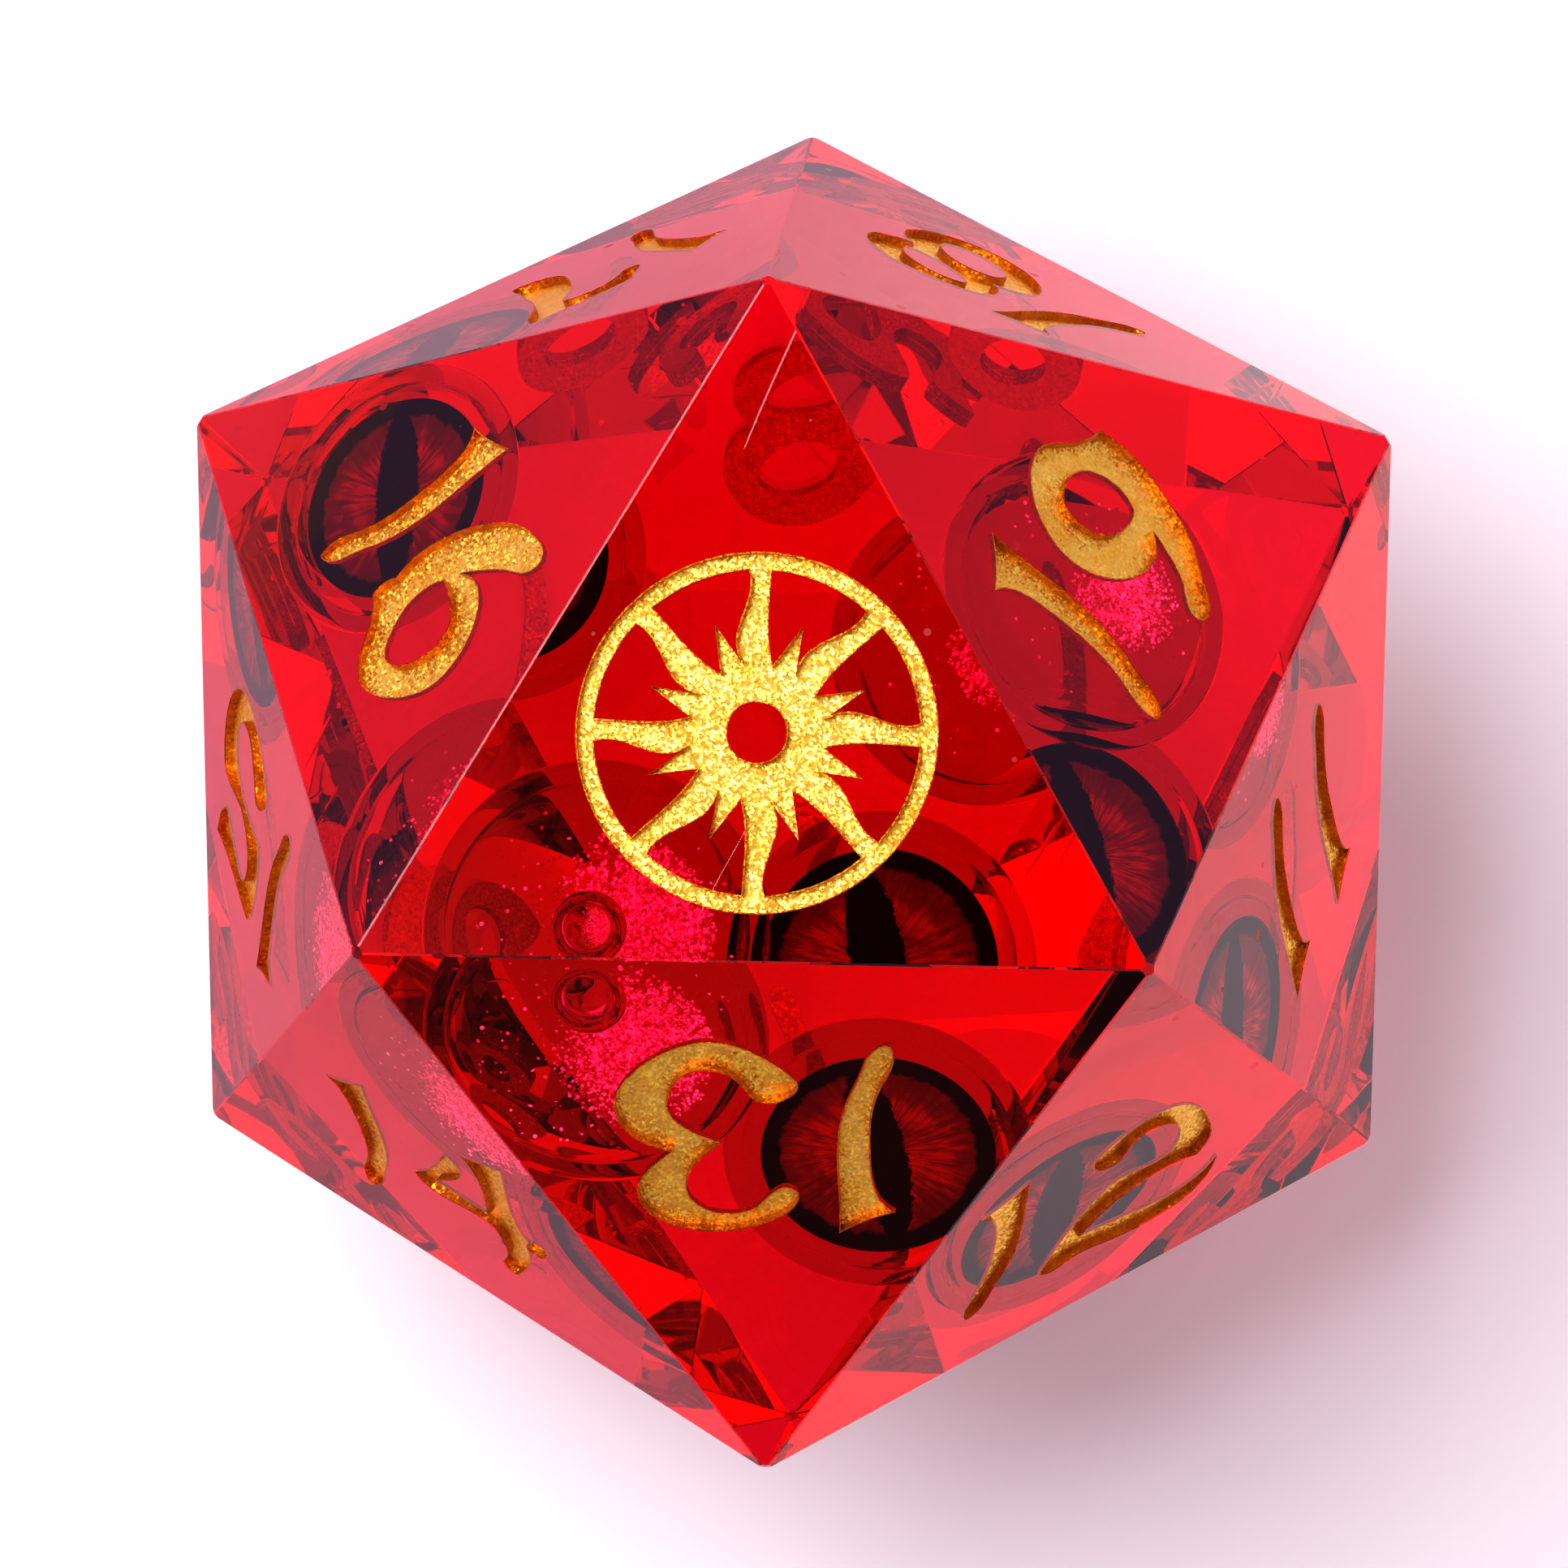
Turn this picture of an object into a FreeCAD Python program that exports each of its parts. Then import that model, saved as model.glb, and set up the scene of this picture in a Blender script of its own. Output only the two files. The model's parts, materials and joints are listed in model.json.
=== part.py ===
"""Countdown d20 in clear resin, with two liquid capsules and two eye balls set inside it.

Millimetres. +Z is up through the ornamented face, +Y points from the body's centre towards the
corner at the top of that face, and the origin is the centre of the face the die rests on.
"""

import FreeCAD, Part
import math
import os

os.makedirs("parts", exist_ok=True)

# --- Driving dimensions -------------------------------------------------------------------
FACE_TO_FACE = 55.0  # between opposite faces, so also the height at rest
EDGE_FLAT = 0.12  # width of the polished flat along each edge
CORNER_CUT = 0.22  # how far each sharp corner is polished back

NUMERAL_HEIGHT = 11.4  # cap height of every numeral
DIGIT_GAP = 1.7  # between the two digits of a number
ELEVEN_GAP = 3.6  # the same for 11, whose digits are both narrow
ENGRAVE_DEPTH = 0.60  # depth of every recess
PAINT_THICKNESS = 0.15  # gold paint on the recess floor
MARK_DROP = 1.1  # from the foot of 6 and 9 to the bar under them
MARK_HEIGHT = 0.8
OFF_MIDDLE = {16: (1.3, -0.3)}  # how far a number sits right of and above its side's middle

ORNAMENT_RADIUS = 8.3
ORNAMENT_RING = 0.8  # width of the ring round the sun
SUN_RAYS = 8  # long curved rays, with a short straight one between each pair

CAPSULE_A_DIA = 16.6
CAPSULE_B_DIA = 15.4
EYE_A_DIA = 15.6
EYE_B_DIA = 14.5
SHELL_WALL = 0.9
LAP_HEIGHT = 0.6  # height of the lap joint between two half shells
PLUG_DIA = 1.8
PLUG_TAPER = 0.2  # by how much the plug is narrower inside

LIQUID_CLEARANCE = 0.05  # between a liquid and its shell, and round what turns inside it
BUBBLE_A_DIA = 3.6
BUBBLE_B_DIA = 1.6
BUBBLE_SUNK = 0.75  # depth of a bubble's centre below the liquid's top, in bubble radii
GLITTER_HEIGHT = 1.5  # depth of the settled glitter

IRIS_EDGE_GAP = 0.85  # liquid between the iris's edge and the shell
IRIS_THICKNESS = 0.3
LENS_HEIGHT = 2.9
WEIGHT_HEIGHT = 2.4

# Ball centres from the body's centre, as shares of FACE_TO_FACE, so that the walls scale too.
CAPSULE_A_AT = (-0.149, -0.156, 0.149)
CAPSULE_B_AT = (0.185, 0.104, 0.089)
EYE_A_AT = (0.087, -0.167, -0.211)
EYE_B_AT = (-0.256, 0.187, -0.055)

# --- Derived ------------------------------------------------------------------------------
GOLDEN = (1 + math.sqrt(5)) / 2
EDGE = FACE_TO_FACE * math.sqrt(3) / GOLDEN**2
CENTRE = FreeCAD.Vector(0, 0, FACE_TO_FACE / 2)
UP = FreeCAD.Vector(0, 0, 1)

# Corners of the body: letter, which radius, azimuth in degrees and which height.
INNER_RADIUS = EDGE / math.sqrt(3)
OUTER_RADIUS = INNER_RADIUS * GOLDEN
CORNER_REACH = EDGE * math.sqrt(GOLDEN * math.sqrt(5)) / 2
MID_HEIGHT = math.sqrt(CORNER_REACH**2 - OUTER_RADIUS**2)
CORNERS = {
    "A": (INNER_RADIUS, 90, FACE_TO_FACE / 2),
    "B": (INNER_RADIUS, 210, FACE_TO_FACE / 2),
    "C": (INNER_RADIUS, 330, FACE_TO_FACE / 2),
    "D": (OUTER_RADIUS, 150, MID_HEIGHT),
    "E": (OUTER_RADIUS, 30, MID_HEIGHT),
    "H": (OUTER_RADIUS, 270, MID_HEIGHT),
    "F": (OUTER_RADIUS, 90, -MID_HEIGHT),
    "G": (OUTER_RADIUS, 210, -MID_HEIGHT),
    "I": (OUTER_RADIUS, 330, -MID_HEIGHT),
    "X": (INNER_RADIUS, 270, -FACE_TO_FACE / 2),
    "Y": (INNER_RADIUS, 30, -FACE_TO_FACE / 2),
    "Z": (INNER_RADIUS, 150, -FACE_TO_FACE / 2),
}

# Number on each face: its three corners, the first being the one its numeral points at.
FACES = {
    20: "ABC",
    19: "ACE",
    18: "AEF",
    17: "AFD",
    16: "ADB",
    15: "GDB",
    14: "BGH",
    13: "HBC",
    12: "CHI",
    11: "ICE",
    10: "EIY",
    9: "YEF",
    8: "FYZ",
    7: "ZFD",
    6: "DZG",
    5: "XZG",
    4: "XGH",
    3: "XHI",
    2: "XIY",
    1: "XYZ",
}

# --- Pen-drawn digits ---------------------------------------------------------------------
# Each digit is a width and its closed outlines, the first solid and the rest holes, in
# hundredths of the cap height. A third value of 1 marks a sharp corner.
DIGITS = {
    "0": (
        71,
        [
            [(38, 100, 1), (56, 91), (69, 72), (71, 48), (63, 21), (47, 4), (32, 0)]
            + [(13, 9), (2, 31), (0, 55), (7, 80), (20, 94)],
            [(37, 84, 1), (47, 75), (52, 58), (51, 36), (44, 20), (34, 15, 1), (24, 22)]
            + [(18, 42), (19, 64), (26, 78)],
        ],
    ),
    "1": (
        25,
        [
            [(1, 88, 1), (11, 92), (24, 100, 1), (24, 75), (24, 50), (20, 30), (14, 14)]
            + [(8, 2), (3, 0), (1, 5), (5, 19), (10, 36), (11, 54), (10, 72), (7, 82)],
        ],
    ),
    "2": (
        89,
        [
            [(18, 84), (28, 94), (42, 100), (58, 98), (72, 85), (80, 66), (82, 50)]
            + [(77, 41, 1), (62, 44), (45, 42), (30, 34), (19, 22, 1), (32, 20)]
            + [(49, 17), (66, 15), (80, 19), (89, 30, 1), (87, 16), (76, 4), (58, 0)]
            + [(37, 2), (18, 5), (5, 2), (0, 6, 1), (8, 25), (18, 43), (29, 55, 1)]
            + [(40, 57), (53, 55), (62, 59, 1), (64, 69), (60, 81), (49, 88)]
            + [(38, 85), (33, 76), (26, 74), (19, 79)],
        ],
    ),
    "3": (
        75,
        [
            [(1, 83), (12, 94), (29, 100), (49, 99), (63, 91), (67, 79), (61, 67)]
            + [(52, 58, 1), (65, 53), (73, 44), (75, 33), (67, 17), (52, 5), (36, 0)]
            + [(20, 4), (7, 13), (0, 23), (5, 29), (16, 31), (23, 22), (34, 15)]
            + [(45, 17), (52, 26), (53, 37), (47, 45), (39, 50), (32, 53, 1)]
            + [(40, 61), (46, 71), (46, 81), (39, 89), (29, 91), (18, 87), (10, 78)]
            + [(5, 76), (1, 79)],
        ],
    ),
    "4": (
        73,
        [
            [(27, 82), (32, 78), (31, 68), (24, 59), (13, 48, 1), (42, 48, 1), (44, 66)]
            + [(43, 83), (38, 93, 1), (49, 97), (62, 103, 1), (60, 83), (59, 66)]
            + [(61, 49, 1), (65, 43, 1), (68, 48), (73, 47), (72, 39), (67, 36)]
            + [(61, 38, 1), (60, 24), (53, 9), (44, 0), (41, 3), (44, 13), (46, 27)]
            + [(43, 37, 1), (22, 37), (5, 37), (0, 42), (6, 50), (14, 61), (21, 73)],
        ],
    ),
    "5": (
        76,
        [
            [(7, 95, 1), (27, 96), (47, 97), (67, 101, 1), (66, 90), (59, 78, 1)]
            + [(47, 81), (33, 86), (22, 86), (17, 78), (18, 67), (24, 61, 1), (43, 58)]
            + [(60, 63), (69, 62, 1), (75, 48), (75, 33), (66, 13), (50, 2), (32, 1)]
            + [(15, 7), (2, 19), (6, 27), (17, 33, 1), (26, 23), (38, 15), (49, 17)]
            + [(56, 27), (54, 40), (43, 48), (25, 50), (5, 48, 1), (1, 63), (1, 78)]
            + [(3, 88)],
        ],
    ),
    "6": (
        67,
        [
            [(49, 98), (50, 91), (42, 82), (33, 72), (25, 60, 1), (39, 66), (53, 60)]
            + [(63, 48), (67, 34), (61, 16), (49, 4), (38, 0), (27, 3), (16, 12)]
            + [(9, 16), (2, 18, 1), (1, 27), (3, 31, 1), (0, 46), (3, 61), (11, 78)]
            + [(23, 92), (37, 99), (45, 100)],
            [(22, 52, 1), (33, 52), (44, 49, 1), (50, 40), (49, 27), (43, 17), (35, 15)]
            + [(27, 21), (21, 30), (19, 41)],
        ],
    ),
    "7": (
        63,
        [
            [(1, 74), (5, 86), (13, 99, 1), (28, 101), (45, 99), (63, 99, 1), (60, 87)]
            + [(52, 74), (44, 58), (39, 41), (36, 28), (33, 17), (31, 5), (28, 0)]
            + [(20, 3), (13, 15), (15, 32), (21, 49), (30, 66), (38, 79), (36, 84, 1)]
            + [(27, 87), (17, 84), (9, 77), (4, 73)],
        ],
    ),
    "8": (
        70,
        [
            [(34, 99), (49, 95), (61, 85), (65, 71), (60, 59, 1), (55, 55, 1), (65, 47)]
            + [(70, 33), (66, 16), (55, 4), (40, 0), (21, 6), (6, 21), (1, 36)]
            + [(6, 48), (12, 54, 1), (4, 62), (1, 74), (7, 88), (20, 96)],
            [(14, 79), (22, 85), (38, 83), (48, 74), (50, 65), (42, 62), (26, 65)]
            + [(16, 71)],
            [(19, 36), (23, 45), (36, 47), (50, 38), (55, 25), (47, 17), (31, 19)],
        ],
    ),
    "9": (
        69,
        [
            [(28, 98), (38, 98), (50, 88), (59, 81), (67, 78, 1), (68, 68), (67, 55)]
            + [(61, 38), (51, 20), (38, 8), (27, 0), (21, 1), (20, 6), (29, 15)]
            + [(37, 26), (42, 38, 1), (36, 33), (26, 32), (13, 38), (3, 51), (0, 64)]
            + [(4, 79), (15, 92)],
            [(31, 81), (42, 78), (48, 68), (48, 56), (44, 49, 1), (31, 50), (22, 57)]
            + [(19, 68), (22, 77)],
        ],
    ),
}


def polar(radius, azimuth, height=0.0):
    """The point at this radius and azimuth in degrees."""
    turn = math.radians(azimuth)
    return FreeCAD.Vector(radius * math.cos(turn), radius * math.sin(turn), height)


def corner(letter):
    return polar(*CORNERS[letter])


# --- Resin body ---------------------------------------------------------------------------
def solid_of(polygons):
    """The solid bounded by flat polygons, each a list of points."""
    sides = [Part.Face(Part.makePolygon([*points, points[0]])) for points in polygons]
    return Part.Solid(Part.Shell(sides))


def edge_flats():
    """The thirty-sided solid whose faces plane the flats along the body's edges."""
    slope = math.radians(90) - math.acos(math.sqrt(5) / 3) / 2
    reach = EDGE * GOLDEN / 2 - EDGE_FLAT / 2 / math.tan(slope)
    to_corner = reach / math.cos(math.atan(1 / GOLDEN))
    to_face = reach * math.sqrt(3) / GOLDEN
    centres = {}
    for letters in FACES.values():
        middle = (corner(letters[0]) + corner(letters[1]) + corner(letters[2])) / 3
        centres[frozenset(letters)] = middle.normalize() * to_face
    polygons = []
    for letters in CORNERS:
        for other in CORNERS:
            beside = [at for key, at in centres.items() if {letters, other} <= key]
            if letters < other and len(beside) == 2:
                one, two = (corner(n).normalize() * to_corner for n in (letters, other))
                polygons.append([one, beside[0], two, beside[1]])
    return solid_of(polygons)


def blank_body():
    """The twenty-sided body with polished edges and corners, resting on its base face."""
    body = solid_of([[corner(letter) for letter in letters] for letters in FACES.values()])
    body = body.common(edge_flats())
    body = body.common(Part.makeSphere(CORNER_REACH - CORNER_CUT))
    body.translate(CENTRE)
    return body


# --- Recesses and paint -------------------------------------------------------------------
def outline(points):
    """A closed wire through (x, y, sharp) points, smooth except at the sharp ones."""
    sharp = [i for i, point in enumerate(points) if len(point) > 2]
    places = [FreeCAD.Vector(point[0], point[1], 0) for point in points]
    if not sharp:
        curve = Part.BSplineCurve()
        curve.interpolate(Points=places, PeriodicFlag=True)
        return Part.Wire([curve.toShape()])
    edges = []
    count = len(points)
    for start, end in zip(sharp, [*sharp[1:], sharp[0] + count]):
        run = [places[i % count] for i in range(start, end + 1)]
        if len(run) == 2:
            edges.append(Part.makeLine(run[0], run[1]))
        else:
            curve = Part.BSplineCurve()
            curve.interpolate(Points=run)
            edges.append(curve.toShape())
    return Part.Wire(edges)


def flat_shape(outlines):
    """A flat face with holes: the first outline is its edge."""
    face = Part.Face(outline(outlines[0]))
    for hole in outlines[1:]:
        face = face.cut(Part.Face(outline(hole))).Faces[0]
    return face


def digit_face(digit, left, foot):
    """One digit at cap height, with its left side and its foot at these places."""
    scale = NUMERAL_HEIGHT / 100
    placed = []
    for points in DIGITS[digit][1]:
        placed.append([(left + x * scale, foot + y * scale, *mark) for x, y, *mark in points])
    return flat_shape(placed)


def number_faces(number):
    """Name endings and flat faces for what is written on one side, centred on it."""
    text = str(number)
    gap = ELEVEN_GAP if text == "11" else DIGIT_GAP
    widths = [DIGITS[digit][0] * NUMERAL_HEIGHT / 100 for digit in text]
    aside, above = OFF_MIDDLE.get(number, (0, 0))
    left = aside - (sum(widths) + gap * (len(text) - 1)) / 2
    foot = above - NUMERAL_HEIGHT / 2
    faces = []
    for place, digit, width in zip(("tens", "units")[-len(text) :], text, widths):
        name = place if len(text) == 2 else "digit"
        faces.append((name, digit_face(digit, left, foot)))
        left += width + gap
    if text in ("6", "9"):
        faces.append(("bar", bar_face(widths[0], foot - MARK_DROP)))
    return faces


def bar_face(width, top):
    """The bar that tells 6 from 9, with pen-cut ends."""
    half, low, slant = width * 0.42, top - MARK_HEIGHT, MARK_HEIGHT * 0.4
    points = [(-half, low, 1), (half - slant, low, 1), (half, top, 1), (slant - half, top, 1)]
    return flat_shape([points])


def sun_face():
    """A sun with curved long rays and straight short ones, and a hole in its middle."""
    step = 360 / SUN_RAYS
    valley, tip, short = ORNAMENT_RADIUS * 0.38, ORNAMENT_RADIUS - ORNAMENT_RING / 2, 0.64
    points = []

    def add(radius, azimuth, *mark):
        place = polar(radius, azimuth)
        points.append((place.x, place.y, *mark))

    for ray in range(SUN_RAYS):
        middle = 90 - ray * step
        add(valley, middle + step * 0.27, 1)
        add(valley * 1.55, middle + step * 0.25)
        add(tip * 0.82, middle + step * 0.09)
        add(tip, middle + step * 0.12, 1)
        add(tip, middle - step * 0.08, 1)
        add(tip * 0.75, middle - step * 0.09)
        add(valley * 1.35, middle - step * 0.13)
        add(valley, middle - step * 0.27, 1)
        add(ORNAMENT_RADIUS * short, middle - step * 0.5, 1)
    hole = [(*polar(ORNAMENT_RADIUS * 0.17, 90 + 60 * i)[:2],) for i in range(6)]
    return flat_shape([points, hole])


def prism(face, low, high):
    """A flat face made solid between two heights."""
    solid = face.extrude(UP * (high - low))
    solid.translate(UP * low)
    return solid


def ornament_prism(low, high):
    """The sun joined to the ring round it."""
    disc = Part.makeCylinder(ORNAMENT_RADIUS, high - low, UP * low)
    ring = disc.cut(Part.makeCylinder(ORNAMENT_RADIUS - ORNAMENT_RING, high - low, UP * low))
    return ring.fuse(prism(sun_face(), low, high)).removeSplitter()


def face_placement(letters):
    """Takes the drawing plane to this side, with its top towards the first corner."""
    points = [corner(letter) for letter in letters]
    middle = (points[0] + points[1] + points[2]) / 3
    out = FreeCAD.Vector(middle).normalize()
    top = (points[0] - middle).normalize()
    right = top.cross(out)
    at = middle + CENTRE
    matrix = FreeCAD.Matrix(
        right.x, top.x, out.x, at.x,
        right.y, top.y, out.y, at.y,
        right.z, top.z, out.z, at.z,
        0, 0, 0, 1,
    )
    return FreeCAD.Placement(matrix)


def recesses_and_paint():
    """The solids cut from the body, and the paint left on their floors by node name."""
    floor, paint_top, outside = -ENGRAVE_DEPTH, PAINT_THICKNESS - ENGRAVE_DEPTH, ENGRAVE_DEPTH
    cuts, paint = [], {}
    for number, letters in FACES.items():
        if number == 20:
            pairs = [("ornament", ornament_prism(floor, outside), ornament_prism(floor, paint_top))]
        else:
            pairs = [
                (name, prism(face, floor, outside), prism(face, floor, paint_top))
                for name, face in number_faces(number)
            ]
        for name, recess, fill in pairs:
            placement = face_placement(letters)
            recess.Placement = placement.multiply(recess.Placement)
            fill.Placement = placement.multiply(fill.Placement)
            cuts.append(recess)
            paint[f"paint_{number:02d}_{name}"] = fill
    return cuts, paint


# --- Balls set in the resin ---------------------------------------------------------------
def ball_centre(shares):
    return CENTRE + FreeCAD.Vector(*shares) * FACE_TO_FACE


def slab(radius, low, high):
    """Everything within reach of a ball between two heights."""
    return Part.makeCylinder(radius * 2, high - low, UP * low)


def cap(base_radius, height):
    """A dome of this height on a round base, rising from z = 0."""
    radius = (base_radius**2 + height**2) / (2 * height)
    ball = Part.makeSphere(radius, UP * (height - radius))
    return ball.common(slab(radius, 0, height * 2))


def shell_halves(outer):
    """The upper half, the lower half with its lap, and the fill plug of one ball."""
    inner = outer - SHELL_WALL
    whole = Part.makeSphere(outer).cut(Part.makeSphere(inner))
    lap = Part.makeSphere(outer - SHELL_WALL / 2).cut(Part.makeSphere(inner))
    lap = lap.common(slab(outer, 0, LAP_HEIGHT))
    lower = whole.common(slab(outer, -outer * 2, 0)).fuse(lap).removeSplitter()
    bung = Part.makeCone(
        (PLUG_DIA - PLUG_TAPER) / 2, PLUG_DIA / 2, SHELL_WALL * 2, UP * (outer - SHELL_WALL * 1.5)
    )
    upper = whole.common(slab(outer, 0, outer * 2)).cut(lap).cut(bung)
    return upper, lower, whole.common(bung)


def capsule_contents(outer, bubble_dia):
    """The liquid with its bubble hollow, and the glitter settled under it."""
    radius = outer - SHELL_WALL - LIQUID_CLEARANCE
    bubble = bubble_dia / 2
    glitter_top = GLITTER_HEIGHT - radius
    liquid = Part.makeSphere(radius)
    glitter = liquid.common(slab(radius, -radius * 2, glitter_top))
    liquid = liquid.cut(slab(radius, -radius * 2, glitter_top + LIQUID_CLEARANCE))
    liquid = liquid.cut(Part.makeSphere(bubble, UP * (radius - bubble * BUBBLE_SUNK)))
    return liquid, glitter


def eye_pieces(outer):
    """The liquid with room for the eye, and the eye's lens, iris disc and weight."""
    base = outer - SHELL_WALL - IRIS_EDGE_GAP
    room = LIQUID_CLEARANCE
    under = UP * -IRIS_THICKNESS
    iris = Part.makeCylinder(base, IRIS_THICKNESS, under)
    lens = cap(base, LENS_HEIGHT)
    weight = cap(base, WEIGHT_HEIGHT).mirror(FreeCAD.Vector(0, 0, 0), UP)
    weight.translate(under)
    hollow = Part.makeCylinder(base + room, IRIS_THICKNESS, under)
    hollow = hollow.fuse(cap(base + room, LENS_HEIGHT + room))
    below = cap(base + room, WEIGHT_HEIGHT + room).mirror(FreeCAD.Vector(0, 0, 0), UP)
    below.translate(under)
    liquid = Part.makeSphere(outer - SHELL_WALL - room).cut(hollow.fuse(below))
    return liquid, lens, iris, weight


def balls():
    """Every ball's seat in the resin, and its pieces by node name."""
    seats, pieces = [], {}
    for name, shares, dia, bubble in (
        ("capsule_a", CAPSULE_A_AT, CAPSULE_A_DIA, BUBBLE_A_DIA),
        ("capsule_b", CAPSULE_B_AT, CAPSULE_B_DIA, BUBBLE_B_DIA),
        ("eye_a", EYE_A_AT, EYE_A_DIA, None),
        ("eye_b", EYE_B_AT, EYE_B_DIA, None),
    ):
        made = dict(zip(("shell_upper", "shell_lower", "plug"), shell_halves(dia / 2)))
        if bubble is None:
            made.update(zip(("liquid", "lens", "iris", "weight"), eye_pieces(dia / 2)))
        else:
            made.update(zip(("liquid", "glitter"), capsule_contents(dia / 2, bubble)))
        for piece, shape in made.items():
            shape.translate(ball_centre(shares))
            pieces[f"{name}_{piece}"] = shape
        seats.append(Part.makeSphere(dia / 2, ball_centre(shares)))
    return seats, pieces


def one_solid(name, shape):
    """The shape's single solid, or an error that names the node."""
    if len(shape.Solids) != 1 or not shape.Solids[0].isValid():
        raise ValueError(f"{name} holds {len(shape.Solids)} solids")
    return shape.Solids[0]


def main():
    recesses, nodes = recesses_and_paint()
    seats, pieces = balls()
    nodes.update(pieces)
    nodes["resin_body"] = blank_body().cut(recesses).cut(seats)
    for name, shape in sorted(nodes.items()):
        one_solid(name, shape).exportStep(f"parts/{name}.step")


main()
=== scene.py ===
"""A clear red countdown die with gold numerals, liquid capsules and eye balls, dressed for Blender.

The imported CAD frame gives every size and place. Light bends once at each surface between two
clear materials, so each such surface belongs to one piece only and carries the ratio of the two
refractive indices; the faces that lie against it are matched, which means they bend nothing.
"""

from __future__ import annotations

import json
import logging
import math
from dataclasses import dataclass, field
from enum import Enum

import bpy
import numpy as np
from mathutils import Matrix, Vector


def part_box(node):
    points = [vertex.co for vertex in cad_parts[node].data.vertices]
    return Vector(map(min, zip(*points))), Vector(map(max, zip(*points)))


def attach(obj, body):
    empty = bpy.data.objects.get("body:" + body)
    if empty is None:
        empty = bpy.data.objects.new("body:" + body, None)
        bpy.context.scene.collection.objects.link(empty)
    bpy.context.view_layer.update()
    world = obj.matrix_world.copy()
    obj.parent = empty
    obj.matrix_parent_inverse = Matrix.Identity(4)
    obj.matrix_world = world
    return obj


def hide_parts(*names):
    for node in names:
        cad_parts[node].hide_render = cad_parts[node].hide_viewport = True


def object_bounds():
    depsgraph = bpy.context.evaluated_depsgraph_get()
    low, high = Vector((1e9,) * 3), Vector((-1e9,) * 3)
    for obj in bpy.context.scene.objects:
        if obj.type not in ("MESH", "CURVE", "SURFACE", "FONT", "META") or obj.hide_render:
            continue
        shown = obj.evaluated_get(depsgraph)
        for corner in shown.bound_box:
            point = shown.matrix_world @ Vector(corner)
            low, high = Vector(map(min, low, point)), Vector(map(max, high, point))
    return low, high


LOG = logging.getLogger("countdown_die")
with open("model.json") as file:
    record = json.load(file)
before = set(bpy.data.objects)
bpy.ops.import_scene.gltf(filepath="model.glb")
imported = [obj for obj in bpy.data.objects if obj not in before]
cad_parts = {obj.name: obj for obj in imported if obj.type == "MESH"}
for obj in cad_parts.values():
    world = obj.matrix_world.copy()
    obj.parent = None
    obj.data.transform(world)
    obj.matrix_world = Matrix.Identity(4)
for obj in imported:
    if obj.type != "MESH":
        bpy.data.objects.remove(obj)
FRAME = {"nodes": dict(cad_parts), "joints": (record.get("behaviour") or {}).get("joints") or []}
CAD_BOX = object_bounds()

MM = 0.001
RESIN_IOR = 1.54
SHELL_IOR = 1.53
LIQUID_IOR = 1.5
MATCHED_IOR = 1.0
LIQUID_GAP = 0.05 * MM
DIE_BODY = "die"


Colour = tuple[float, float, float]
Socket = bpy.types.NodeSocket
Value = Socket | float | tuple[float, ...] | Vector


class Pattern(Enum):
    """The shared surface patterns."""

    SPECKS = "specks"
    SCRATCHES = "hairline_scratches"
    FLAKES = "metal_flakes"


# --- Mesh building ------------------------------------------------------------------------


@dataclass
class Surface:
    """A surface as whole arrays: points, and faces of three or four corners.

    Four-cornered faces and triangles are kept apart so that each is one array.
    """

    points: np.ndarray
    quads: np.ndarray = field(default_factory=lambda: np.zeros((0, 4), int))
    tris: np.ndarray = field(default_factory=lambda: np.zeros((0, 3), int))

    def turned(self) -> Surface:
        """The same surface facing the other way."""
        return Surface(self.points, self.quads[:, ::-1], self.tris[:, ::-1])

    def moved(self, by: np.ndarray) -> Surface:
        """The same surface shifted by a vector."""
        return Surface(self.points + by, self.quads, self.tris)

    def joined(self, other: Surface) -> Surface:
        """Both surfaces as one, this one's faces first within each kind."""
        step = len(self.points)
        return Surface(
            np.vstack([self.points, other.points]),
            np.vstack([self.quads, other.quads + step]),
            np.vstack([self.tris, other.tris + step]),
        )


def revolved(profile: np.ndarray, steps: int) -> Surface:
    """Turns a profile about the vertical axis.

    Each point is (radius cos t, radius sin t, height) on an even grid of the turn t and the
    profile's own steps. A profile that starts or ends on the axis closes there in a fan.

    Args:
        profile: Rows of radius and height. Going up on the outside gives outward faces.
        steps: Number of divisions of the full turn.

    Returns:
        The surface, its triangles being the fans.
    """
    turn = np.arange(steps) * 2 * np.pi / steps
    on_axis = profile[:, 0] < 1e-9
    rows = profile[~on_axis]
    ring = np.stack([np.cos(turn), np.sin(turn)], axis=1)
    grid = np.empty((len(rows), steps, 3))
    grid[:, :, :2] = rows[:, None, :1] * ring[None]
    grid[:, :, 2] = rows[:, 1:2]
    points = grid.reshape(-1, 3)
    index = np.arange(len(rows) * steps).reshape(len(rows), steps)
    after = np.roll(index, -1, axis=1)
    quads = np.stack([index[:-1], after[:-1], after[1:], index[1:]], axis=-1).reshape(-1, 4)
    tris = np.zeros((0, 3), int)
    for end, row, flip in ((0, 0, True), (-1, -1, False)):
        if not on_axis[end]:
            continue
        pole = np.full(steps, len(points))
        points = np.vstack([points, [0.0, 0.0, profile[end, 1]]])
        fan = np.stack([index[row], after[row], pole], axis=1)
        tris = np.vstack([tris, fan[:, ::-1] if flip else fan])
    return Surface(points, quads, tris)


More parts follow.
